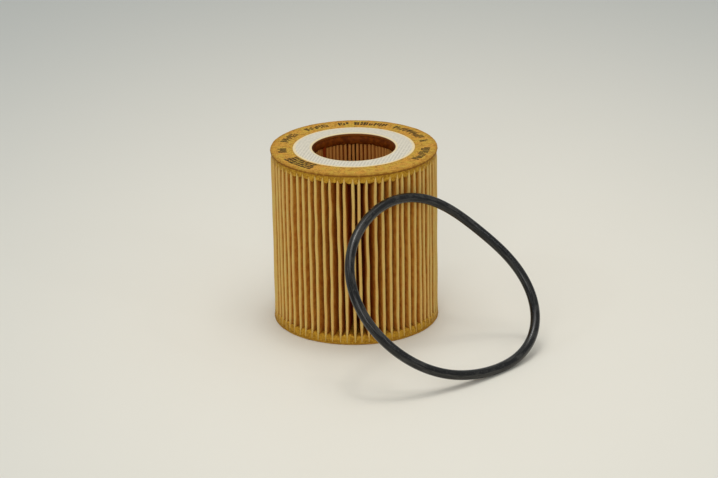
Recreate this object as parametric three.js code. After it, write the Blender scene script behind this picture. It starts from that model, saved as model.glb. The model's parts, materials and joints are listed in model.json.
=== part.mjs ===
// Oil filter kit for a small engine: a pleated paper element that stands on its lower end disc,
// and the rubber O-ring of the filter housing's lid, leaning on the element's side.
// Millimetres, +Z up. The origin is on the floor, under the middle of the whole kit's box.
// -Y is the front, where the ring leans, and +X is to the right.

import * as THREE from 'three';
import { ParametricGeometry } from 'three/addons/geometries/ParametricGeometry.js';

// The filter element.
const elementCentre = new THREE.Vector2(-21.5, 27.9);
const elementRadius = 36.75;
const elementHeight = 79;
const boreRadius = 18.45;
const gap = 0.3; // between pieces that touch

// Each end, from the outside in: the end disc with the seal ring in its middle, then the potting.
const discThickness = 1.2;
const discEdgeRounding = 0.35;
const sealRingRadius = 26.85;
const pottingDepth = 2.9;
const pottingRadius = 36.6;
const pottingBoreRadius = 18.7;
const ringSegments = 72;

// The pleated paper, one strip folded into a star.
const pleatCount = 68;
const paperThickness = 0.5;
const tipRadius = 36.45; // how far the paper's outer folds reach
const valleyRadius = 18.95; // how far in its inner folds reach
const tipBend = 0.42; // bend radius of an outer fold, at the middle of the paper
const valleyBend = 0.35; // the same for an inner fold
const tipSegments = 4;
const valleySegments = 3;

// The seam, where the strip's two ends are glued together.
const seamAngle = THREE.MathUtils.degToRad(133.5);
const seamSpread = THREE.MathUtils.degToRad(1.6); // what the seam adds to the pleats' pitch
const seamThickness = 0.5; // of the glue, at the paper's ends
const seamOuterThickness = 1.2; // of the glue, where it ends between the pleats
const seamOuterRadius = 27;

// The O-ring. It has relaxed from a circle, so its radius varies with the angle round it.
const cordRadius = 2.15;
const ringMeanRadius = 43.1;
const ringLobes = [
  { count: 2, height: 3.55, towards: THREE.MathUtils.degToRad(-33) },
  { count: 3, height: 1.52, towards: THREE.MathUtils.degToRad(-39) },
  { count: 4, height: 0.78, towards: THREE.MathUtils.degToRad(-24.5) },
];
const ringSteps = 64;
const cordSides = 12;
// Where it stands, measured from the element's axis: it tips about a level line through this
// point of its cord, which runs along ringHeading, and leans back by ringTilt from the floor.
const ringFoot = new THREE.Vector2(54.2, -74.4);
const ringHeading = THREE.MathUtils.degToRad(43.6);
const ringTilt = THREE.MathUtils.degToRad(50.9);

const material = (color, roughness) =>
  new THREE.MeshStandardMaterial({ color, roughness, metalness: 0 });
const paperMaterial = material(0xc2a057, 0.85);
const fleeceMaterial = material(0xb89146, 0.9);
const pottingMaterial = material(0x98732a, 0.45);
const seamMaterial = material(0x7a2c12, 0.5);
const wovenMaterial = material(0xd2cdbf, 0.85);
const rubberMaterial = material(0x22262a, 0.4);

function piece(name, geometry, itsMaterial, height = 0) {
  const mesh = new THREE.Mesh(geometry, itsMaterial);
  mesh.name = name;
  mesh.position.z = height;
  return mesh;
}

// A flat ring round the Z axis, from the floor up. The outer edges can be rounded off.
function flatRing(innerRadius, outerRadius, thickness, rounding = 0) {
  const profile = [
    new THREE.Vector2(innerRadius, 0),
    new THREE.Vector2(outerRadius - rounding, 0),
    new THREE.Vector2(outerRadius, rounding),
    new THREE.Vector2(outerRadius, thickness - rounding),
    new THREE.Vector2(outerRadius - rounding, thickness),
    new THREE.Vector2(innerRadius, thickness),
    new THREE.Vector2(innerRadius, 0),
  ];
  // Without rounding, the corners' two points are one.
  const corners = profile.filter((point, i) => i === 0 || !point.equals(profile[i - 1]));
  return new THREE.LatheGeometry(corners, ringSegments).rotateX(Math.PI / 2);
}

const polar = (radius, angle) =>
  new THREE.Vector2(radius * Math.cos(angle), radius * Math.sin(angle));

const leftOf = (heading) => polar(1, heading + Math.PI / 2);

// The paper's folds in order, counter-clockwise from one side of the seam to the other.
// turn is +1 where the strip bends to the left, at an outer fold, and -1 at an inner one.
function paperFolds() {
  const pitch = (2 * Math.PI - seamSpread) / pleatCount;
  const tipCentre = tipRadius - paperThickness / 2 - tipBend;
  const valleyCentre = valleyRadius + paperThickness / 2 + valleyBend;
  const endOffset = (seamThickness + paperThickness) / 2 + gap;
  const endAngle = Math.asin(endOffset / valleyRadius);
  const folds = [{ centre: polar(valleyRadius, endAngle), bend: 0, turn: -1, segments: 0 }];
  for (let pleat = 0; pleat < pleatCount; pleat += 1) {
    const start = seamSpread / 2 + pleat * pitch;
    if (pleat > 0) {
      folds.push({
        centre: polar(valleyCentre, start),
        bend: valleyBend,
        turn: -1,
        segments: valleySegments,
      });
    }
    folds.push({
      centre: polar(tipCentre, start + pitch / 2),
      bend: tipBend,
      turn: 1,
      segments: tipSegments,
    });
  }
  folds.push({ centre: polar(valleyRadius, -endAngle), bend: 0, turn: -1, segments: 0 });
  return folds;
}

// The strip's heading on the straight flank between two neighbouring folds, which it touches
// on opposite sides.
function flankHeading(from, to) {
  const line = to.centre.clone().sub(from.centre);
  return line.angle() + from.turn * Math.asin((from.bend + to.bend) / line.length());
}

// The points of one face of the strip, offset to the left of its middle surface.
function paperFace(folds, offset) {
  const headings = folds.slice(1).map((fold, i) => flankHeading(folds[i], fold));
  const points = [];
  folds.forEach((fold, i) => {
    const arriving = headings[Math.max(i - 1, 0)];
    const leaving = headings[Math.min(i, headings.length - 1)];
    const fullTurn = 2 * Math.PI;
    const bent = (((leaving - arriving) * fold.turn) % fullTurn + fullTurn) % fullTurn;
    for (let step = 0; step <= fold.segments; step += 1) {
      const part = fold.segments ? step / fold.segments : 0;
      const heading = arriving + fold.turn * bent * part;
      const reach = offset - fold.turn * fold.bend;
      points.push(leftOf(heading).multiplyScalar(reach).add(fold.centre));
    }
  });
  return points;
}

function extruded(outline, height) {
  return new THREE.ExtrudeGeometry(new THREE.Shape(outline), {
    depth: height,
    bevelEnabled: false,
  });
}

function pleatedPaper(height) {
  const folds = paperFolds();
  const leftFace = paperFace(folds, paperThickness / 2);
  const rightFace = paperFace(folds, -paperThickness / 2);
  return extruded([...rightFace, ...leftFace.reverse()], height).rotateZ(seamAngle);
}

// The glue between the strip's ends: a thin wedge that widens outwards.
function seamBond(height) {
  const outline = [
    new THREE.Vector2(valleyRadius, -seamThickness / 2),
    new THREE.Vector2(seamOuterRadius, -seamOuterThickness / 2),
    new THREE.Vector2(seamOuterRadius, seamOuterThickness / 2),
    new THREE.Vector2(valleyRadius, seamThickness / 2),
  ];
  return extruded(outline, height).rotateZ(seamAngle);
}

// One end's disc, seal ring and potting; the top end is the bottom one mirrored.
function addEnd(group, end, heightOf) {
  group.add(
    piece(
      `${end}_end_disc`,
      flatRing(sealRingRadius + gap, elementRadius, discThickness, discEdgeRounding),
      fleeceMaterial,
      heightOf(0, discThickness),
    ),
    piece(
      `${end}_seal_ring`,
      flatRing(boreRadius, sealRingRadius, discThickness),
      wovenMaterial,
      heightOf(0, discThickness),
    ),
    piece(
      `${end}_potting`,
      flatRing(pottingBoreRadius, pottingRadius, pottingDepth),
      pottingMaterial,
      heightOf(discThickness + gap, pottingDepth),
    ),
  );
}

function filterElement() {
  const element = new THREE.Group();
  addEnd(element, 'bottom', (start) => start);
  addEnd(element, 'top', (start, depth) => elementHeight - start - depth);
  const paperStart = discThickness + gap + pottingDepth + gap;
  const paperHeight = elementHeight - 2 * paperStart;
  element.add(
    piece('pleated_paper', pleatedPaper(paperHeight), paperMaterial, paperStart),
    piece('side_seam_bond', seamBond(paperHeight), seamMaterial, paperStart),
  );
  element.position.set(elementCentre.x, elementCentre.y, 0);
  return element;
}

function ringRadiusAt(angle) {
  return ringLobes.reduce(
    (radius, lobe) => radius + lobe.height * Math.cos(lobe.count * (angle - lobe.towards)),
    ringMeanRadius,
  );
}

const ringPointAt = (angle) => polar(ringRadiusAt(angle), angle);

// The ring in its own plane: X along its heading, Y up its slope, and Y = 0 at the lowest point
// of the cord's middle line.
function ringGeometry() {
  const angles = Array.from({ length: ringSteps }, (_, i) => (2 * Math.PI * i) / ringSteps);
  const lowest = Math.min(...angles.map((angle) => ringPointAt(angle).y));
  const smallStep = 0.001;
  const place = (u, v, target) => {
    const angle = 2 * Math.PI * (u % 1);
    const middle = ringPointAt(angle);
    const along = ringPointAt(angle + smallStep).sub(ringPointAt(angle - smallStep)).normalize();
    // The section is turned so that the cord rests on one of its corners.
    const round = ringTilt - Math.PI / 2 + 2 * Math.PI * (v % 1);
    const out = cordRadius * Math.cos(round);
    const up = cordRadius * Math.sin(round);
    target.set(middle.x + along.y * out, middle.y - lowest - along.x * out, up);
  };
  return new ParametricGeometry(place, ringSteps, cordSides);
}

function oRing() {
  const ring = piece('o_ring', ringGeometry(), rubberMaterial, cordRadius);
  ring.rotation.set(ringTilt, 0, ringHeading, 'ZXY');
  ring.position.x = elementCentre.x + ringFoot.x;
  ring.position.y = elementCentre.y + ringFoot.y;
  return ring;
}

const kit = new THREE.Group();
kit.add(filterElement(), oRing());

export default kit;
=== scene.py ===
"""The looks of the oil filter kit: a pleated paper element and the O-ring that leans on it.

Every length is in metres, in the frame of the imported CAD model: Z is up and -Y is the front.
"""

import json
import math

import bpy
import numpy as np
from mathutils import Matrix, Vector


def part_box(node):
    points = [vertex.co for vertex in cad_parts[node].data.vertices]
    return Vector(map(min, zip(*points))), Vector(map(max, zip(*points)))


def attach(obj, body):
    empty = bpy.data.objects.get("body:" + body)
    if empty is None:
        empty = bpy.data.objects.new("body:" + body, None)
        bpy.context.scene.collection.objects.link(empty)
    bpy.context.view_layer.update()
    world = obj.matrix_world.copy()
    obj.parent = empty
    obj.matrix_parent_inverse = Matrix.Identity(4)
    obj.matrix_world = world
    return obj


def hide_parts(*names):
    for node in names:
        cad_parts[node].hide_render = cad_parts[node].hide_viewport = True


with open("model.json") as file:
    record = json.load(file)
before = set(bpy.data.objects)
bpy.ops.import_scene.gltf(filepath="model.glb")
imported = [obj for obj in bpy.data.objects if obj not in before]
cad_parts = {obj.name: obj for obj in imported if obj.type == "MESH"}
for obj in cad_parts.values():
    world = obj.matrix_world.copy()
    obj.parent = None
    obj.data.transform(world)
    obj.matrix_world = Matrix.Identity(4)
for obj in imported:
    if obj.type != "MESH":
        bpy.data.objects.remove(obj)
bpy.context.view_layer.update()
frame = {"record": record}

MM = 0.001
TURN = 2 * math.pi


# ---------------------------------------------------------------- sizes from the frame

def box(node):
    """A node's lowest and highest corners."""
    low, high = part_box(node)
    return Vector(low), Vector(high)


disc_low, disc_high = box("top_end_disc")
seal_low, seal_high = box("top_seal_ring")

AXIS = (disc_low + disc_high) / 2
ELEMENT_RADIUS = (disc_high.x - disc_low.x) / 2
ELEMENT_HEIGHT = disc_high.z
DISC_THICKNESS = disc_high.z - disc_low.z
SEAL_RADIUS = (seal_high.x - seal_low.x) / 2
BORE_RADIUS = 18.45 * MM
TIP_RADIUS = ELEMENT_RADIUS - 0.1 * MM  # how far the paper's outer folds reach
VALLEY_RADIUS = 18.9 * MM  # how far in its inner folds reach

# The O-ring tips about a level line through the lowest point of its cord.
hinge = frame["record"]["behaviour"]["joints"][0]
RING_FOOT = Vector(hinge["pos_m"])
RING_HEADING = math.atan2(hinge["axis"][1], hinge["axis"][0])
RING_TILT = math.pi - math.radians(hinge["range_deg"][1])
CORD_RADIUS = RING_FOOT.z
RING_TURN = Matrix.Rotation(RING_HEADING, 3, "Z") @ Matrix.Rotation(RING_TILT, 3, "X")
RING_NORMAL = RING_TURN @ Vector((0, 0, 1))


# ---------------------------------------------------------------- camera, light and floor

CAMERA_DISTANCE = 1.176
CAMERA_ELEVATION = math.radians(21.15)
CAMERA_ROLL = math.radians(-0.93)
CAMERA_LENS = 132.5  # on Blender's 36 mm sensor
CAMERA_TARGET = Vector((AXIS.x + 1.65 * MM, AXIS.y, 35.5 * MM))
WORLD_COLOR = (0.83, 0.85, 0.85)
WORLD_STRENGTH = 0.53
# Each light: its name, place, width, power in watts and colour.
LIGHTS = (
    ("ceiling", (0.0, 0.0, 1.0), 0.7, 3.5, (1, 0.985, 0.95)),
    ("spot", (0.0, 0.12, 1.0), 0.16, 1.1, (1, 0.985, 0.95)),
    ("front", (-0.15, -1.0, 0.6), 0.5, 2.3, (1, 0.99, 0.97)),
    ("left window", (-0.7, -0.2, 0.75), 0.03, 0.2, (0.85, 0.92, 1)),
    ("right window", (0.8, -0.5, 0.6), 0.05, 0.25, (0.9, 0.95, 1)),
)


def add_camera():
    """Looks along +Y and down at the element, through a long lens."""
    data = bpy.data.cameras.new("camera")
    data.lens = CAMERA_LENS
    data.clip_start = 0.05
    camera = bpy.data.objects.new("camera", data)
    bpy.context.scene.collection.objects.link(camera)
    tilt = Matrix.Rotation(math.pi / 2 - CAMERA_ELEVATION, 4, "X")
    roll = Matrix.Rotation(CAMERA_ROLL, 4, "Z")
    back = Vector((0, -math.cos(CAMERA_ELEVATION), math.sin(CAMERA_ELEVATION)))
    place = Matrix.Translation(CAMERA_TARGET + back * CAMERA_DISTANCE)
    camera.matrix_world = place @ tilt @ roll
    bpy.context.scene.camera = camera


def add_area_light(name, place, size, power, color):
    data = bpy.data.lights.new(name, "AREA")
    data.shape = "SQUARE"
    data.size = size
    data.energy = power
    data.color = color
    lamp = bpy.data.objects.new(name, data)
    lamp.location = place
    aim = Vector((0, 0, ELEMENT_HEIGHT / 2)) - lamp.location
    lamp.rotation_euler = aim.to_track_quat("-Z", "Y").to_euler()
    bpy.context.scene.collection.objects.link(lamp)


def add_world():
    """Even light from all round."""
    world = bpy.data.worlds.new("studio")
    world.use_nodes = True
    background = world.node_tree.nodes["Background"]
    background.inputs["Color"].default_value = (*WORLD_COLOR, 1)
    background.inputs["Strength"].default_value = WORLD_STRENGTH
    bpy.context.scene.world = world


# ---------------------------------------------------------------- materials

class Surface:
    """A material built from nodes, one call for each step. Colours are linear."""

    def __init__(self, name, roughness, specular):
        self.material = bpy.data.materials.new(name)
        self.material.use_nodes = True
        self.tree = self.material.node_tree
        self.shader = self.tree.nodes["Principled BSDF"]
        self.shader.inputs["Roughness"].default_value = roughness
        self.shader.inputs["Specular IOR Level"].default_value = specular
        self.place = self.tree.nodes.new("ShaderNodeTexCoord").outputs["Object"]

    def node(self, kind, inputs=(), **settings):
        """Adds a node. inputs maps a socket's name or number to a value or another's output."""
        node = self.tree.nodes.new(kind)
        for key, value in settings.items():
            setattr(node, key, value)
        for key, value in dict(inputs).items():
            if isinstance(value, bpy.types.NodeSocket):
                self.tree.links.new(value, node.inputs[key])
            else:
                node.inputs[key].default_value = value
        return node

    def math(self, operation, *values):
        return self.node("ShaderNodeMath", enumerate(values), operation=operation).outputs[0]

    def moved(self, shift=(0, 0, 0), scale=(1, 1, 1), turn=0.0):
        """The place on the piece, less shift, then turned about Z and scaled."""
        centred = self.node(
            "ShaderNodeVectorMath", {0: self.place, 1: shift}, operation="SUBTRACT"
        ).outputs[0]
        mapping = self.node(
            "ShaderNodeMapping", {"Vector": centred, "Rotation": (0, 0, turn), "Scale": scale}
        )
        return mapping.outputs[0]

    def squeezed(self, heading, times):
        """The place on the piece, with its distances along heading made so many times longer."""
        along = self.node("ShaderNodeVectorMath", {0: self.place, 1: heading}, operation="DOT_PRODUCT")
        extra = self.node(
            "ShaderNodeVectorMath",
            {0: heading, "Scale": self.math("MULTIPLY", along.outputs["Value"], times - 1)},
            operation="SCALE",
        )
        squeezed = self.node(
            "ShaderNodeVectorMath", {0: self.place, 1: extra.outputs[0]}, operation="ADD"
        )
        return squeezed.outputs[0]

    def noise(self, size, detail=3.0, roughness=0.55, place=None):
        """Noise from 0 to 1 whose patches are about size across."""
        node = self.node(
            "ShaderNodeTexNoise",
            {
                "Vector": place or self.place,
                "Scale": 1 / size,
                "Detail": detail,
                "Roughness": roughness,
            },
        )
        return node.outputs[0]

    def between(self, value, low, high):
        """0 where value is below low, 1 above high, and smooth in between."""
        node = self.node(
            "ShaderNodeMapRange",
            {"Value": value, "From Min": low, "From Max": high},
            interpolation_type="SMOOTHSTEP",
        )
        return node.outputs["Result"]

    def mix(self, factor, first, second):
        """The first colour where factor is 0, and the second where it is 1."""
        node = self.node("ShaderNodeMix", {"Factor": factor}, data_type="RGBA")
        for socket, color in ((node.inputs[6], first), (node.inputs[7], second)):
            if isinstance(color, bpy.types.NodeSocket):
                self.tree.links.new(color, socket)
            else:
                socket.default_value = (*color, 1)
        return node.outputs[2]

    def mix_values(self, factor, first, second):
        """The first number where factor is 0, and the second where it is 1."""
        return self.node("ShaderNodeMix", {"Factor": factor, 2: first, 3: second}).outputs[0]

    def radius(self):
        """How far the place on the piece is from the element's axis."""
        flat = self.moved(shift=(AXIS.x, AXIS.y, 0), scale=(1, 1, 0))
        return self.node("ShaderNodeVectorMath", {0: flat}, operation="LENGTH").outputs["Value"]

    def height(self):
        """How high the place on the piece is."""
        return self.node("ShaderNodeSeparateXYZ", {0: self.place}).outputs["Z"]

    def color(self, output):
        self.tree.links.new(output, self.shader.inputs["Base Color"])

    def rough(self, output):
        self.tree.links.new(output, self.shader.inputs["Roughness"])

    def bump(self, height, depth):
        """Raises the surface by depth where height is 1."""
        node = self.node("ShaderNodeBump", {"Height": height, "Distance": depth, "Strength": 1.0})
        self.tree.links.new(node.outputs[0], self.shader.inputs["Normal"])


def paper_material():
    """Resin-cured filter paper: straw-coloured, with painted shade between the pleats and in the bore.
    """
    surface = Surface("filter_paper", 0.85, 0.12)
    fibre = surface.noise(0.35 * MM, detail=4)
    cloud = surface.noise(6 * MM)
    stain = surface.between(surface.noise(2.6 * MM, detail=4), 0.35, 0.7)
    radius = surface.radius()
    # The flanks, in painted shade: red-brown and mottled, darker and redder the deeper they lie
    # between the pleats.
    shaded_flank = surface.mix(stain, (0.62, 0.28, 0.036), (0.48, 0.16, 0.017))
    deep = surface.between(radius, TIP_RADIUS - 3 * MM, TIP_RADIUS - 10 * MM)
    shaded_flank = surface.mix(deep, shaded_flank, (0.64, 0.16, 0.016))
    # The paper's straw colour on the outer folds, and painted shade on the inner ones that show in the
    # bore.
    fold = surface.mix(surface.between(cloud, 0.35, 0.65), (0.71, 0.43, 0.115), (0.70, 0.495, 0.14))
    fold = surface.mix(surface.between(fibre, 0.42, 0.75), fold, (0.74, 0.53, 0.18))
    outer = surface.between(radius, TIP_RADIUS - 1.2 * MM, TIP_RADIUS - 0.3 * MM)
    base = surface.mix(outer, shaded_flank, fold)
    inner = surface.between(radius, VALLEY_RADIUS + 1.8 * MM, VALLEY_RADIUS + 0.6 * MM)
    surface.color(surface.mix(inner, base, (0.62, 0.275, 0.062)))
    surface.bump(fibre, 0.05 * MM)
    return surface.material


def fleece_material():
    """Resin-soaked fleece of the end discs: mottled orange-brown, red-brown along its cut rim."""
    surface = Surface("end_fleece", 0.8, 0.12)
    fibre = surface.noise(0.5 * MM, detail=5, roughness=0.7)
    cloud = surface.noise(6 * MM)
    stain = surface.noise(1.8 * MM, detail=4)
    base = surface.mix(surface.between(cloud, 0.42, 0.58), (0.57, 0.275, 0.036), (0.53, 0.325, 0.04))
    base = surface.mix(surface.between(stain, 0.45, 0.65), base, (0.36, 0.165, 0.018))
    base = surface.mix(surface.between(fibre, 0.5, 0.7), base, (0.72, 0.46, 0.11))
    base = surface.mix(surface.between(fibre, 0.48, 0.34), base, (0.25, 0.115, 0.015))
    radius = surface.radius()
    worn = surface.between(radius, ELEMENT_RADIUS - 2.5 * MM, ELEMENT_RADIUS - 0.5 * MM)
    base = surface.mix(surface.math("MULTIPLY", worn, stain), base, (0.33, 0.155, 0.018))
    # The top disc's cut rim is darker in patches, below its rounded upper edge.
    rim = surface.between(radius, ELEMENT_RADIUS - 0.5 * MM, ELEMENT_RADIUS - 0.2 * MM)
    depth = surface.math("SUBTRACT", ELEMENT_HEIGHT, surface.height())
    below = surface.between(depth, 0.25 * MM, 0.6 * MM)
    below = surface.math("MULTIPLY", below, surface.between(depth, 3 * MM, 2 * MM))
    below = surface.math("MULTIPLY", below, surface.between(stain, 0.3, 0.55))
    surface.color(surface.mix(surface.math("MULTIPLY", rim, below), base, (0.27, 0.10, 0.010)))
    surface.bump(fibre, 0.09 * MM)
    return surface.material


def potting_material():
    """Cured adhesive: golden, slightly glossy, with small flow marks, and painted shade in the bore.
    """
    surface = Surface("potting_adhesive", 0.5, 0.06)
    cloud = surface.between(surface.noise(1.8 * MM), 0.35, 0.65)
    grain = surface.noise(0.7 * MM, detail=2)
    base = surface.mix(cloud, (0.35, 0.155, 0.0105), (0.55, 0.285, 0.0245))
    base = surface.mix(surface.between(grain, 0.45, 0.75), base, (0.66, 0.39, 0.045))
    # Painted shade: the adhesive round the bore is dark red-brown.
    collar = surface.mix(cloud, (0.095, 0.017, 0.0005), (0.175, 0.037, 0.001))
    bore = surface.between(surface.radius(), BORE_RADIUS + 5 * MM, BORE_RADIUS + 2 * MM)
    surface.color(surface.mix(bore, base, collar))
    surface.bump(grain, 0.05 * MM)
    return surface.material


WEAVE_PITCH = 1.43 * MM  # from one thread to the next
WEAVE_TURN = math.radians(13.5)  # of the threads, from the X axis
EVEN_WEAVE_TONE = 0.55  # the weave's even tone towards the back, where its painted rib shading fades out


def woven_material():
    """Pale scrim of the seal rings: ribbed threads, striped partly by painted shade, which fades out
    towards the back.
    """
    surface = Surface("woven_seal", 0.85, 0.2)
    wave = TURN / WEAVE_PITCH
    place = surface.moved(shift=AXIS, scale=(wave, wave, wave), turn=WEAVE_TURN)
    parts = surface.node("ShaderNodeSeparateXYZ", {0: place})
    across = surface.math("SINE", parts.outputs["X"])
    along = surface.math("SINE", parts.outputs["Y"])
    knots = surface.math("MULTIPLY_ADD", along, 0.4, 0.8)
    weave = surface.between(surface.math("MULTIPLY", across, knots), -0.8, 0.8)
    # Painted light: the stripes fade to an even tone towards the back, where the light doesn't pick
    # out the ribs.
    back = surface.node("ShaderNodeSeparateXYZ", {0: surface.moved(shift=AXIS)}).outputs["Y"]
    filled = surface.between(back, -15 * MM, 20 * MM)
    weave = surface.mix_values(filled, weave, EVEN_WEAVE_TONE)
    fibre = surface.noise(1.1 * MM, detail=5)
    base = surface.mix(weave, (0.51, 0.475, 0.39), (0.70, 0.65, 0.535))
    base = surface.mix(surface.between(fibre, 0.45, 0.7), base, (0.68, 0.63, 0.525))
    base = surface.mix(surface.between(fibre, 0.45, 0.3), base, (0.54, 0.50, 0.415))
    # Cream bands along both of its edges, and adhesive brown below its face.
    radius = surface.radius()
    outer = surface.between(radius, SEAL_RADIUS - 1.6 * MM, SEAL_RADIUS - 0.5 * MM)
    inner = surface.between(radius, BORE_RADIUS + 1.3 * MM, BORE_RADIUS + 0.4 * MM)
    base = surface.mix(surface.math("MAXIMUM", outer, inner), base, (0.76, 0.63, 0.38))
    height = surface.height()
    depth = surface.math("MINIMUM", height, surface.math("SUBTRACT", ELEMENT_HEIGHT, height))
    surface.color(surface.mix(surface.between(depth, 0.2 * MM, 0.4 * MM), base, (0.26, 0.07, 0.006)))
    surface.bump(fibre, 0.04 * MM)
    return surface.material


def seam_material():
    """Dark red-brown glue of the side seam."""
    surface = Surface("seam_adhesive", 0.5, 0.15)
    cloud = surface.noise(1.5 * MM)
    surface.color(surface.mix(cloud, (0.19, 0.022, 0.002), (0.37, 0.052, 0.005)))
    surface.bump(cloud, 0.1 * MM)
    return surface.material


STREAK_STRETCH = 20  # how many times longer than wide a streak on the rubber is


def rubber_material():
    """Black rubber: a satin skin with faint streaks along the cord, and a trace of dust."""
    surface = Surface("ring_rubber", 0.25, 0.38)
    skin = surface.noise(0.6 * MM, detail=4, roughness=0.65)
    dust = surface.noise(9 * MM)
    base = surface.mix(surface.between(dust, 0.45, 0.8), (0.003, 0.003, 0.003), (0.009, 0.009, 0.0085))
    streak = surface.noise(7 * MM, detail=4, place=surface.squeezed(RING_NORMAL, STREAK_STRETCH))
    base = surface.mix(surface.between(streak, 0.48, 0.62), base, (0.033, 0.032, 0.029))
    surface.color(surface.mix(surface.between(skin, 0.56, 0.72), base, (0.044, 0.043, 0.040)))
    surface.rough(surface.math("MULTIPLY_ADD", skin, 0.2, 0.12))
    surface.bump(skin, 0.03 * MM)
    return surface.material


def ink_material():
    """Matt dark print, thin enough for the fleece to show in places."""
    surface = Surface("print_ink", 0.8, 0.08)
    wear = surface.noise(0.5 * MM)
    base = surface.mix(surface.between(wear, 0.45, 0.75), (0.045, 0.031, 0.011), (0.17, 0.09, 0.018))
    surface.color(base)
    surface.bump(wear, 0.02 * MM)
    return surface.material


def floor_material():
    surface = Surface("table", 0.6, 0.3)
    cloud = surface.noise(60 * MM)
    near = surface.mix(cloud, (0.82, 0.785, 0.695), (0.83, 0.80, 0.715))
    # Painted shade: in an oval away from the element the floor turns darker and greyer, standing in
    # for the light's falloff.
    falloff_oval = surface.moved(shift=(AXIS.x + 30 * MM, AXIS.y, 0), scale=(1.7, 1, 0))
    reach = surface.node("ShaderNodeVectorMath", {0: falloff_oval}, operation="LENGTH").outputs["Value"]
    surface.color(surface.mix(surface.between(reach, 100 * MM, 750 * MM), near, (0.59, 0.605, 0.575)))
    return surface.material


# ---------------------------------------------------------------- mesh tools

def quads(rows, columns, close_rows=False, close_columns=False):
    """The corner numbers of a grid's faces. A closed side joins its last line to its first."""
    corners = np.arange(rows * columns).reshape(rows, columns)
    if close_rows:
        corners = np.vstack([corners, corners[:1]])
    if close_columns:
        corners = np.hstack([corners, corners[:, :1]])
    around = [corners[:-1, :-1], corners[:-1, 1:], corners[1:, 1:], corners[1:, :-1]]
    return np.stack(around, axis=-1).reshape(-1, 4)


def add_piece(name, points, faces, material, body, sharp=None):
    """A smooth-shaded mesh that rides on a body. Edges sharper than the sharp angle stay crisp."""
    mesh = bpy.data.meshes.new(name)
    mesh.from_pydata(np.reshape(points, (-1, 3)).tolist(), [], [list(map(int, f)) for f in faces])
    mesh.materials.append(material)
    mesh.shade_smooth()
    if sharp:
        mesh.set_sharp_from_angle(angle=sharp)
    piece = bpy.data.objects.new(name, mesh)
    bpy.context.scene.collection.objects.link(piece)
    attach(piece, body)
    return piece


def around_axis(radius, angle, z):
    """Points from their distance from the element's axis, their angle round it, and height."""
    return np.stack(
        np.broadcast_arrays(AXIS.x + radius * np.cos(angle), AXIS.y + radius * np.sin(angle), z),
        axis=-1,
    )


def ripple(x, y, size, seed, waves=9):
    """Smooth unevenness from about -1 to 1, with features about size across."""
    draw = np.random.default_rng(seed)
    total = 0
    for _ in range(waves):
        heading, phase = draw.uniform(0, TURN, 2)
        wave = TURN / size * draw.uniform(0.6, 1.4)
        total = total + np.sin(wave * (x * math.cos(heading) + y * math.sin(heading)) + phase)
    return total / math.sqrt(waves)


def ripple_round(radius, angle, size, seed):
    """The same unevenness along a circle round the axis, which it joins up on."""
    return ripple(radius * np.cos(angle), radius * np.sin(angle), size, seed)


def smooth(value, low, high):
    """0 where value is below low, 1 above high, and smooth in between."""
    part = np.clip((value - low) / (high - low), 0, 1)
    return part * part * (3 - 2 * part)


def revolved(name, outer_face, inward, radius, angle, depth, material, sharp=None):
    """A closed ring round the axis. Rows go round its section, columns round the axis.

    depth is measured from outer_face into the element, which is along inward, +1 or -1 in Z.
    """
    radius, depth = np.broadcast_arrays(radius, depth)
    if inward > 0:
        radius, depth = radius[::-1], depth[::-1]  # so that the faces still point out
    points = around_axis(radius, angle, outer_face + inward * depth)
    faces = quads(*radius.shape, close_rows=True, close_columns=True)[:, ::-1]
    return add_piece(name, points, faces, material, "element", sharp)


# ---------------------------------------------------------------- end discs and seal rings

DISC_COLUMNS = 480
DISC_ROWS = 21  # across each of its faces
DISC_EDGE_ROWS = 9
DISC_ROUNDING = 0.4 * MM
DISC_GRAIN = 0.035 * MM  # how far the fleece's surface rises and falls
DISC_RAGGEDNESS = 0.06 * MM  # how far its cut edge wanders
DISC_GAP = 0.05 * MM  # between the fleece and the seal ring

SEAL_COLUMNS = 880
SEAL_ROWS = 52
WEAVE_RELIEF = 0.04 * MM
SEAL_EDGE_WIDTH = 0.5 * MM  # where its face drops towards either edge
SEAL_EDGE_DROP = 0.15 * MM


def fleece_depth(x, y):
    """How far the fleece's surface lies below the disc's flat face, or above it if negative."""
    fine = ripple(x, y, 1.3 * MM, seed=3)
    broad = ripple(x, y, 11 * MM, seed=4)
    return DISC_GRAIN * (0.5 * fine + broad)


def end_disc(name, outer_face, inward, thickness, material):
    """A thin fleece ring. Its outer edge is rounded and a little ragged."""
    angle = np.linspace(0, TURN, DISC_COLUMNS, endpoint=False)
    edge = np.radians(np.linspace(90, -90, DISC_EDGE_ROWS))
    centre = ELEMENT_RADIUS - DISC_ROUNDING
    across = np.linspace(SEAL_RADIUS + DISC_GAP, centre, DISC_ROWS, endpoint=False)
    radius = np.concatenate([across, centre + DISC_ROUNDING * np.cos(edge), across[::-1]])
    half = thickness / 2
    depth = np.concatenate([0 * across, half * (1 - np.sin(edge)), 0 * across + thickness])
    ragged = DISC_RAGGEDNESS * ripple_round(ELEMENT_RADIUS, angle, 1.7 * MM, seed=5)
    radius = radius[:, None] + smooth(radius[:, None], centre, ELEMENT_RADIUS) * ragged
    depth = depth[:, None] + fleece_depth(radius * np.cos(angle), radius * np.sin(angle))
    return revolved(name, outer_face, inward, radius, angle, depth, material)


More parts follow.
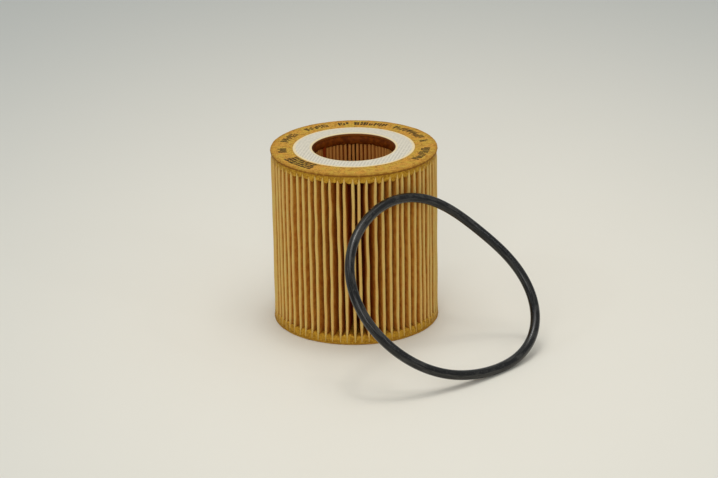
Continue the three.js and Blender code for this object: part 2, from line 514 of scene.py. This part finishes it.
def seal_ring(name, outer_face, inward, material):
    """The scrim ring round the bore, with its weave raised on the outer face."""
    angle = np.linspace(0, TURN, SEAL_COLUMNS, endpoint=False)
    across = np.linspace(BORE_RADIUS, SEAL_RADIUS, SEAL_ROWS)
    radius = np.concatenate([across, [SEAL_RADIUS, BORE_RADIUS]])[:, None]
    x, y = radius * np.cos(angle), radius * np.sin(angle)
    across_threads = x * math.cos(WEAVE_TURN) - y * math.sin(WEAVE_TURN)
    along_threads = x * math.sin(WEAVE_TURN) + y * math.cos(WEAVE_TURN)
    wave = TURN / WEAVE_PITCH
    weave = np.sin(wave * across_threads) * np.sin(wave * along_threads)
    from_inside = smooth(radius, BORE_RADIUS, BORE_RADIUS + SEAL_EDGE_WIDTH)
    from_outside = 1 - smooth(radius, SEAL_RADIUS - SEAL_EDGE_WIDTH, SEAL_RADIUS)
    face = from_inside * from_outside
    depth = SEAL_EDGE_DROP * (1 - face) - WEAVE_RELIEF * weave * face
    depth[-2:] = DISC_THICKNESS
    sharp = math.radians(60)
    return revolved(name, outer_face, inward, radius, angle, depth, material, sharp)


# ---------------------------------------------------------------- pleated paper

PLEATS = 68
PAPER = 0.34 * MM
PAPER_INSET = 0.9 * DISC_THICKNESS  # from each end of the element to the paper
SEAM_ANGLE = math.radians(133.5)
SEAM_SPREAD = math.radians(1.6)  # what the seam adds to the pleats' pitch
SEAM_GAP = 0.5 * MM  # between the strip's two ends
TIP_WIDTH = 1.34 * MM  # of an outer fold
PINCHED_WIDTH = 0.36 * MM  # the same, if it were pinched shut
VALLEY_WIDTH = 1.2 * MM

# The adhesive pinches the outer folds, which open out over these heights from either end.
PINCH_START = -1 * MM
LOW_PINCH_END = 9 * MM
HIGH_PINCH_END = 6.5 * MM

# How far the folds stray from an even star.
TIP_SCATTER = math.radians(0.42)  # from pleat to pleat
TIP_WANDER = math.radians(0.22)  # slowly, along an outer fold
TIP_WOBBLE = math.radians(0.12)  # quickly, along the same
VALLEY_WANDER = math.radians(0.25)
TIP_RETREAT = 0.12 * MM
TOP_RETREAT = 0.5 * MM  # more, behind the top disc's rim

TIP_STEPS = 6
VALLEY_STEPS = 4
ROWS = 48
CLOSER_ENDS = 0.38  # 0 would space the rows evenly


def pleat_rows():
    """Heights of the paper's rows, closer together near its ends."""
    part = np.linspace(-1, 1, ROWS)
    spread = (1 - CLOSER_ENDS) * part + CLOSER_ENDS * part**5
    return ELEMENT_HEIGHT / 2 + spread * (ELEMENT_HEIGHT / 2 - PAPER_INSET)


def wander(z, count, size, seed):
    """A smooth random curve along z for each of count folds, from about -1 to 1.

    Its waves are about size long.
    """
    draw = np.random.default_rng(seed)
    phase = draw.uniform(0, TURN, (count, 3, 1))
    wave = TURN / size * draw.uniform(0.5, 1.5, (count, 3, 1))
    return np.sin(wave * z + phase).sum(axis=1) / 2


pleat_z = pleat_rows()
pitch = (TURN - SEAM_SPREAD) / PLEATS
even_tips = SEAM_ANGLE + SEAM_SPREAD / 2 + pitch * (np.arange(PLEATS) + 0.5)
draw = np.random.default_rng(68)
tip_shift = TIP_SCATTER * np.clip(draw.standard_normal(PLEATS), -1.8, 1.8)


def tip_angles(z):
    """The angle of each outer fold at the heights z, one row for each pleat."""
    free = smooth(z, 0, 12 * MM) * (1 - smooth(z, ELEMENT_HEIGHT - 10 * MM, ELEMENT_HEIGHT))
    slow = TIP_WANDER * wander(z, PLEATS, 110 * MM, seed=11) * (0.4 + 0.6 * free)
    quick = TIP_WOBBLE * wander(z, PLEATS, 24 * MM, seed=12) * free
    return even_tips[:, None] + tip_shift[:, None] + slow + quick


def paper_folds(z):
    """The folds from one end of the strip to the other: centres, bend radii and turns."""
    tips = tip_angles(z)
    open_below = smooth(z, PINCH_START, LOW_PINCH_END)
    open_above = smooth(ELEMENT_HEIGHT - z, PINCH_START, HIGH_PINCH_END)
    opened = np.minimum(open_below, open_above)
    swell = 1 + 0.07 * wander(z, PLEATS, 18 * MM, seed=13) * opened
    width = PINCHED_WIDTH + (TIP_WIDTH * swell - PINCHED_WIDTH) * opened
    tip_bend = width / 2 - PAPER / 2
    reach = TIP_RADIUS - TIP_RETREAT * (1 + wander(z, PLEATS, 40 * MM, seed=14)) * opened
    reach -= TOP_RETREAT * smooth(z, ELEMENT_HEIGHT - 1.6 * MM, ELEMENT_HEIGHT - 1 * MM)
    tip_centre = reach - width / 2
    valleys = (tips[1:] + tips[:-1]) / 2
    valleys += VALLEY_WANDER * wander(z, PLEATS - 1, 60 * MM, seed=15)
    valley_bend = np.full(valleys.shape, VALLEY_WIDTH / 2 - PAPER / 2)
    valley_centre = VALLEY_RADIUS + VALLEY_WIDTH / 2
    end_offset = math.asin((PAPER + SEAM_GAP) / 2 / VALLEY_RADIUS)
    ends = [np.full(z.shape, SEAM_ANGLE + side * end_offset) for side in (1, -1)]

    angle = np.empty((2 * PLEATS + 1, len(z)))
    radius, bend = np.zeros(angle.shape), np.zeros(angle.shape)
    angle[0], angle[-1] = ends
    angle[1::2], angle[2:-1:2] = tips, valleys
    radius[0] = radius[-1] = VALLEY_RADIUS
    radius[1::2], radius[2:-1:2] = tip_centre, valley_centre
    bend[1::2], bend[2:-1:2] = tip_bend, valley_bend
    centre = np.stack([radius * np.cos(angle), radius * np.sin(angle)], axis=-1)
    turn = -np.ones(len(angle))
    turn[1::2] = 1
    return centre, bend, turn


def left_of(heading):
    """The direction to the left of a heading."""
    return np.stack([-np.sin(heading), np.cos(heading)], axis=-1)


def paper_face(centre, bend, turn, offset):
    """The points of one face of the strip, offset to the left of its middle, for every row."""
    line = centre[1:] - centre[:-1]
    length = np.linalg.norm(line, axis=-1)
    heading = np.arctan2(line[..., 1], line[..., 0])
    heading += turn[:-1, None] * np.arcsin((bend[1:] + bend[:-1]) / length)
    points = []
    for fold in range(len(turn)):
        arriving = heading[max(fold - 1, 0)]
        leaving = heading[min(fold, len(heading) - 1)]
        bent = np.mod((leaving - arriving) * turn[fold], TURN)
        reach = offset - turn[fold] * bend[fold]
        is_end = fold in (0, len(turn) - 1)
        steps = 0 if is_end else TIP_STEPS if turn[fold] > 0 else VALLEY_STEPS
        for step in range(steps + 1):
            now = arriving + turn[fold] * bent * (step / steps if steps else 0)
            points.append(centre[fold] + reach[:, None] * left_of(now))
        if fold < len(turn) - 1:
            points.append(None)
    return with_flank_middles(points)


def with_flank_middles(points):
    """Fills each None with the point halfway between its neighbours."""
    filled = [
        (points[i - 1] + points[i + 1]) / 2 if point is None else point
        for i, point in enumerate(points)
    ]
    return np.array(filled)


def pleated_paper(material):
    """One closed sheet with both faces, folded into pleats that waver a little."""
    centre, bend, turn = paper_folds(pleat_z)
    right = paper_face(centre, bend, turn, -PAPER / 2)
    left = paper_face(centre, bend, turn, PAPER / 2)
    outline = np.concatenate([right, left[::-1]])
    rows = np.swapaxes(outline, 0, 1)
    z = np.broadcast_to(pleat_z[:, None], rows.shape[:2])
    points = np.stack([AXIS.x + rows[..., 0], AXIS.y + rows[..., 1], z], axis=-1)
    count = len(outline)
    sides = quads(ROWS, count, close_columns=True)
    # Each cut edge runs between the two faces' points.
    first = np.arange(len(right) - 1)
    lower_edge = np.stack([first, count - 1 - first, count - 2 - first, first + 1], axis=-1)
    upper_edge = lower_edge[:, ::-1] + (ROWS - 1) * count
    faces = np.concatenate([sides, lower_edge, upper_edge])
    return add_piece("paper_pleats", points, faces, material, "element")


# ---------------------------------------------------------------- potting

POTTING_COLUMNS = PLEATS * 12
POTTING_RIDGE = 2.7 * MM  # how deep the adhesive is against a fold, from the disc's outer face
POTTING_VALLEY = 4.35 * MM  # and midway between two folds
COLLAR_DEPTH = 5.3 * MM  # and round the bore
TONGUE_ROUNDING = 0.45 * MM  # of the outer edge between the folds
COLLAR_ROUNDING = 0.5 * MM
COLLAR_INSET = 0.12 * MM  # how far the collar stays outside the bore's radius
DISC_OVERLAP = 0.1 * MM  # how far the adhesive reaches into its disc
ROUNDING_STEPS = 6


def tongues(angle, outer_face, inward):
    """How deep the adhesive's outer edge hangs: deepest midway between two outer folds."""
    ridge_z = np.array([outer_face + inward * POTTING_RIDGE])
    tips = np.sort(np.mod(tip_angles(ridge_z)[:, 0], TURN))
    tips = np.concatenate([[tips[-1] - TURN], tips, [tips[0] + TURN]])
    after = np.searchsorted(tips, angle)
    part = (angle - tips[after - 1]) / (tips[after] - tips[after - 1])
    tongue = np.sqrt(np.clip(1 - (2 * part - 1) ** 2, 0, 1))
    uneven = 1 + 0.22 * ripple_round(ELEMENT_RADIUS, angle, 4 * MM, seed=21 + inward)
    return POTTING_RIDGE + (POTTING_VALLEY - POTTING_RIDGE) * tongue * uneven


def potting(name, outer_face, inward, outside, start, material):
    """The adhesive under a disc, from the radius outside to the bore, and from the depth start."""
    angle = np.linspace(0, TURN, POTTING_COLUMNS, endpoint=False)
    edge = tongues(angle, outer_face, inward)
    wavy = ripple_round(BORE_RADIUS, angle, 5 * MM, seed=31 + inward)
    collar = COLLAR_DEPTH + 0.12 * MM * wavy
    inside = BORE_RADIUS + COLLAR_INSET
    back = start - DISC_OVERLAP
    # The section, as pairs of a radius and the depths there: its back, its outer wall, the rounded
    # edge of the tongues, the slope down to the collar, and the collar's rounded edge.
    section = [(inside, back), (outside - DISC_OVERLAP, back), (outside, start)]
    section.append((outside, (start + edge) / 2))
    quarter = np.linspace(0, math.pi / 2, ROUNDING_STEPS)
    for turn in quarter:
        in_by, up_by = 1 - math.cos(turn), 1 - math.sin(turn)
        section.append((outside - TONGUE_ROUNDING * in_by, edge - TONGUE_ROUNDING * up_by))
    slope_start = outside - TONGUE_ROUNDING, edge - 0.2 * MM
    slope_end = inside + 1.5 * MM, COLLAR_DEPTH - 1 * MM
    for share in (0.25, 0.5, 0.75):
        section.append([(1 - share) * a + share * b for a, b in zip(slope_start, slope_end)])
    for turn in quarter:
        out_by, up_by = 1 - math.sin(turn), 1 - math.cos(turn)
        section.append((inside + COLLAR_ROUNDING * out_by, collar - COLLAR_ROUNDING * up_by))
    radius = np.array([[reach] for reach, _ in section])
    depth = np.array([np.broadcast_to(depths, angle.shape) for _, depths in section])
    return revolved(name, outer_face, inward, radius, angle, depth, material)


# ---------------------------------------------------------------- seam, O-ring and print

SEAM_INSET = 3 * MM  # from each end of the element to the glue's end
SEAM_ROWS = 60
# The glue's section: distances from the axis, and across the seam.
SEAM_SECTION = MM * np.array(
    [(18.55, 0), (18.7, -0.6), (19.1, -0.85), (19.6, -0.25), (27, -0.5),
     (27, 0.5), (19.6, 0.25), (19.1, 0.85), (18.7, 0.6)]
)


def seam_bead(material):
    """Glue between the strip's two ends, standing a little proud of them in the bore."""
    z = np.linspace(SEAM_INSET, ELEMENT_HEIGHT - SEAM_INSET, SEAM_ROWS)[:, None]
    swell = 1 + 0.16 * wander(z[:, 0], 1, 12 * MM, seed=41)[0][:, None]
    along, across = SEAM_SECTION[:, 0] + 0 * z, SEAM_SECTION[:, 1] * swell
    x = AXIS.x + along * math.cos(SEAM_ANGLE) - across * math.sin(SEAM_ANGLE)
    y = AXIS.y + along * math.sin(SEAM_ANGLE) + across * math.cos(SEAM_ANGLE)
    points = np.stack([x, y, z + 0 * x], axis=-1)
    count = len(SEAM_SECTION)
    last_row = (SEAM_ROWS - 1) * count
    ends = [list(range(count))[::-1], list(range(last_row, last_row + count))]
    faces = quads(SEAM_ROWS, count, close_columns=True).tolist() + ends
    return add_piece("seam_glue", points, faces, material, "element", sharp=math.radians(50))


RING_MEAN_RADIUS = 43.1 * MM
# Each lobe: how many times round, how high, and the direction of its first crest.
RING_LOBES = (
    (2, 3.55 * MM, math.radians(-33)),
    (3, 1.52 * MM, math.radians(-39)),
    (4, 0.78 * MM, math.radians(-24.5)),
)
RING_STEPS = 360
CORD_SIDES = 56
MOULD_LINE_HEIGHT = 0.05 * MM
MOULD_LINE_WIDTH = 0.09  # half of it, in radians round the cord
SMALL_STEP = 0.001  # in radians, to find the way that the cord runs


def ring_curve(angle):
    """The cord's middle line in the ring's plane."""
    radius = RING_MEAN_RADIUS + sum(
        height * np.cos(count * (angle - towards)) for count, height, towards in RING_LOBES
    )
    return np.stack([radius * np.cos(angle), radius * np.sin(angle)], axis=-1)


def o_ring(material):
    """The lid's rubber ring, out of round as it leans, with a faint mould line inside and out."""
    angle = np.linspace(0, TURN, RING_STEPS, endpoint=False)
    middle = ring_curve(angle)
    along = ring_curve(angle + SMALL_STEP) - ring_curve(angle - SMALL_STEP)
    along /= np.linalg.norm(along, axis=-1, keepdims=True)
    outward = np.stack([along[:, 1], -along[:, 0]], axis=-1)[:, None]
    middle[:, 1] -= middle[:, 1].min()
    side = np.linspace(0, TURN, CORD_SIDES, endpoint=False)
    mould_line = MOULD_LINE_HEIGHT * np.exp(-((np.sin(side) / MOULD_LINE_WIDTH) ** 2))
    cord = CORD_RADIUS - MOULD_LINE_HEIGHT + mould_line
    flat = middle[:, None] + outward * (cord * np.cos(side))[None, :, None]
    rise = np.broadcast_to(cord * np.sin(side), flat.shape[:2])
    local = np.concatenate([flat, rise[..., None]], axis=-1)
    points = local @ np.array(RING_TURN).T + np.array(RING_FOOT)
    faces = quads(RING_STEPS, CORD_SIDES, close_rows=True, close_columns=True)[:, ::-1]
    return add_piece("rubber_ring", points, faces, material, "o_ring")


# Each run of marks: where it starts and ends round the disc, in degrees.
PRINT_RUNS = (
    (21, 55),
    (63, 90),
    (95, 104),
    (112, 133),
    (145, 166),
    (182, 193),
    (-33, -3),
    (11, 15),
)
PRINT_RADIUS = 31.7 * MM
PRINT_HEIGHT = 3.8 * MM
SHORT_MARK = 0.7  # of the print's height
# A block of four short rows.
BLOCK_START, BLOCK_END = math.radians(-153), math.radians(-124)
BLOCK_RADII = (28.3 * MM, 30 * MM, 31.7 * MM, 33.4 * MM)
BLOCK_HEIGHT = 1.45 * MM
INK_DEPTH = 0.06 * MM  # how far a mark reaches into the fleece
INK_RISE = 0.03 * MM  # and out of it


def mark(radius, angle, width, height):
    """One printed bar on the top disc, as eight corners: four under and four above."""
    sides = np.array([-0.5, 0.5, 0.5, -0.5]) * width / radius
    lengths = np.array([-0.5, -0.5, 0.5, 0.5]) * height
    reach, turn = radius + lengths, angle + sides
    x, y = reach * np.cos(turn), reach * np.sin(turn)
    face = ELEMENT_HEIGHT - fleece_depth(x, y)
    low = around_axis(reach, turn, face - INK_DEPTH)
    high = around_axis(reach, turn, face + INK_RISE)
    return np.concatenate([low, high])


def print_marks(material):
    """Plain bars and dashes where such discs are printed. They spell nothing."""
    draw = np.random.default_rng(7)
    marks = []
    for start, end in PRINT_RUNS:
        angle = math.radians(start)
        while angle < math.radians(end):
            width = draw.uniform(0.6, 1.15) * MM
            length = PRINT_HEIGHT * draw.choice([1.0, SHORT_MARK])
            offset = (PRINT_HEIGHT - length) / 2 * draw.choice([-1, 1])
            marks.append(mark(PRINT_RADIUS + offset, angle, width, length))
            angle += (width + draw.uniform(0.3, 0.5) * MM) / PRINT_RADIUS
    for radius in BLOCK_RADII:
        angle = BLOCK_START
        while angle < BLOCK_END:
            width = draw.uniform(0.6, 1.4) * MM
            marks.append(mark(radius, angle, width, BLOCK_HEIGHT * draw.uniform(0.75, 1)))
            angle += (width + draw.uniform(0.15, 0.3) * MM) / radius
    sides = [(0, 1, 2, 3), (7, 6, 5, 4), (0, 4, 5, 1), (1, 5, 6, 2), (2, 6, 7, 3), (3, 7, 4, 0)]
    faces = [tuple(8 * i + corner for corner in side) for i in range(len(marks)) for side in sides]
    return add_piece("print_marks", marks, faces, material, "element", sharp=math.radians(30))


# ---------------------------------------------------------------- the scene

def add_floor():
    mesh = bpy.data.meshes.new("table")
    reach = 4.0  # from the middle to each edge
    corners = [(-reach, -reach, 0), (reach, -reach, 0), (reach, reach, 0), (-reach, reach, 0)]
    mesh.from_pydata(corners, [], [(0, 1, 2, 3)])
    mesh.materials.append(floor_material())
    table = bpy.data.objects.new("table", mesh)
    bpy.context.scene.collection.objects.link(table)


def stand_for(piece, node):
    """The piece is shown in place of a CAD node."""
    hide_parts(node)


add_camera()
bpy.context.scene.view_settings.view_transform = "Standard"
add_world()
for light in LIGHTS:
    add_area_light(*light)
add_floor()

fleece, woven, adhesive = fleece_material(), woven_material(), potting_material()
# Each end: its name, outer face, way in, how thick the fleece is there, and how far the adhesive
# stays inside its rim. At the bottom the adhesive comes further out and covers most of the rim.
ENDS = (
    ("top", ELEMENT_HEIGHT, -1, DISC_THICKNESS, 0.5 * MM),
    ("bottom", 0.0, 1, 0.6 * MM, 0.25 * MM),
)
for end, outer_face, inward, thickness, set_back in ENDS:
    disc = end_disc(f"{end}_fleece", outer_face, inward, thickness, fleece)
    stand_for(disc, f"{end}_end_disc")
    seal = seal_ring(f"{end}_woven_ring", outer_face, inward, woven)
    stand_for(seal, f"{end}_seal_ring")
    outside = ELEMENT_RADIUS - set_back
    glue = potting(f"{end}_adhesive", outer_face, inward, outside, thickness, adhesive)
    stand_for(glue, f"{end}_potting")
stand_for(pleated_paper(paper_material()), "pleated_paper")
stand_for(seam_bead(seam_material()), "side_seam_bond")
stand_for(o_ring(rubber_material()), "o_ring")
print_marks(ink_material())
